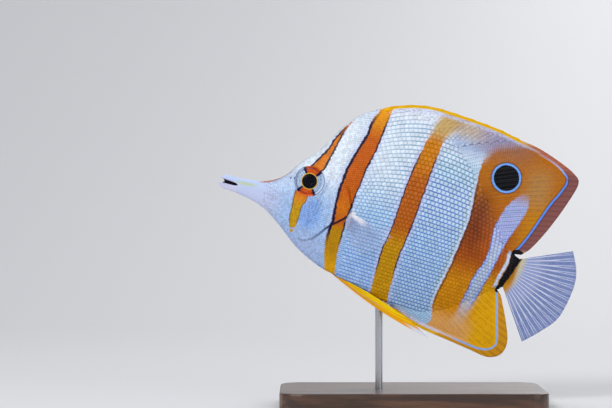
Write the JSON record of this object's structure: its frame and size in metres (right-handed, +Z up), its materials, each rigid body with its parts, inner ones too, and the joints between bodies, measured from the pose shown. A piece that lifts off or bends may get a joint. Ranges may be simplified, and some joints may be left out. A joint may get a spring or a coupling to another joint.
{
  "type": "copperband butterflyfish model",
  "caption": "Still, life-size model of a copperband butterflyfish, held nose-up on one slim rod above a flat display base.",
  "frame": {"origin": "middle of the underside of the display stand's base, which rests on the floor", "axes": "+X runs from the fish's head towards its tail, -Y is the side that the fish's left flank faces, +Z up"},
  "size_m": [0.1483, 0.06, 0.123],
  "materials": {
    "pearl_skin": "pearly white to pale blue fish skin with fine scales and orange-brown bands",
    "orange_skin": "orange to golden fin membrane over fine rays, with a blue line along the edge",
    "clear_fin": "thin, see-through bluish fin membrane over fine rays",
    "eye": "clear, wet, black pupil in a banded iris",
    "stand_wood": "dark, satin wood",
    "stand_steel": "brushed rod"
  },
  "bodies": {
    "root": {"upper_jaw": "pearl_skin", "lower_jaw": "pearl_skin", "head": "pearl_skin", "trunk": "pearl_skin", "peduncle": "pearl_skin", "gill_cover_left": "pearl_skin", "gill_cover_right": "pearl_skin", "eye_left": "eye", "eye_right": "eye", "dorsal_fin_spiny": "orange_skin", "dorsal_fin_soft": "orange_skin", "anal_fin": "orange_skin", "caudal_fin": "clear_fin", "pectoral_fin_left": "clear_fin", "pectoral_fin_right": "clear_fin", "pelvic_fin_left": "orange_skin", "pelvic_fin_right": "orange_skin", "stand_base": "stand_wood", "stand_rod": "stand_steel"}
  },
  "joints": []
}
